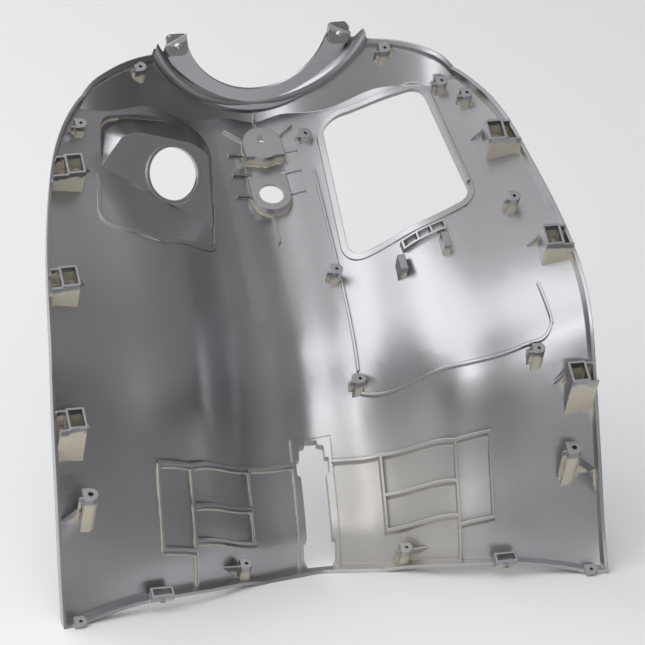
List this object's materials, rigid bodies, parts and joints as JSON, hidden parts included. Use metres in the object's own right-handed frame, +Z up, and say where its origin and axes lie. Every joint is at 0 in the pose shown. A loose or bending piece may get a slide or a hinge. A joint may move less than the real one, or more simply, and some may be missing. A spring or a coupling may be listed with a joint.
{
  "type": "scooter leg shield",
  "caption": "One-piece moulded inner leg shield for a scooter, with a steering cut-out, lock hole, glove box opening, clip sockets and screw bosses on its hidden side.",
  "frame": {"origin": "midway between the two ear screw holes, on the collar's front face", "axes": "+X to the side of the glove box, +Y back to the rider, +Z up"},
  "size_m": [0.44, 0.2932, 0.3887],
  "materials": {
    "shell": "satin metallic grey overspray on ivory plastic"
  },
  "bodies": {
    "root": {"leg_shield": "shell"}
  },
  "joints": []
}
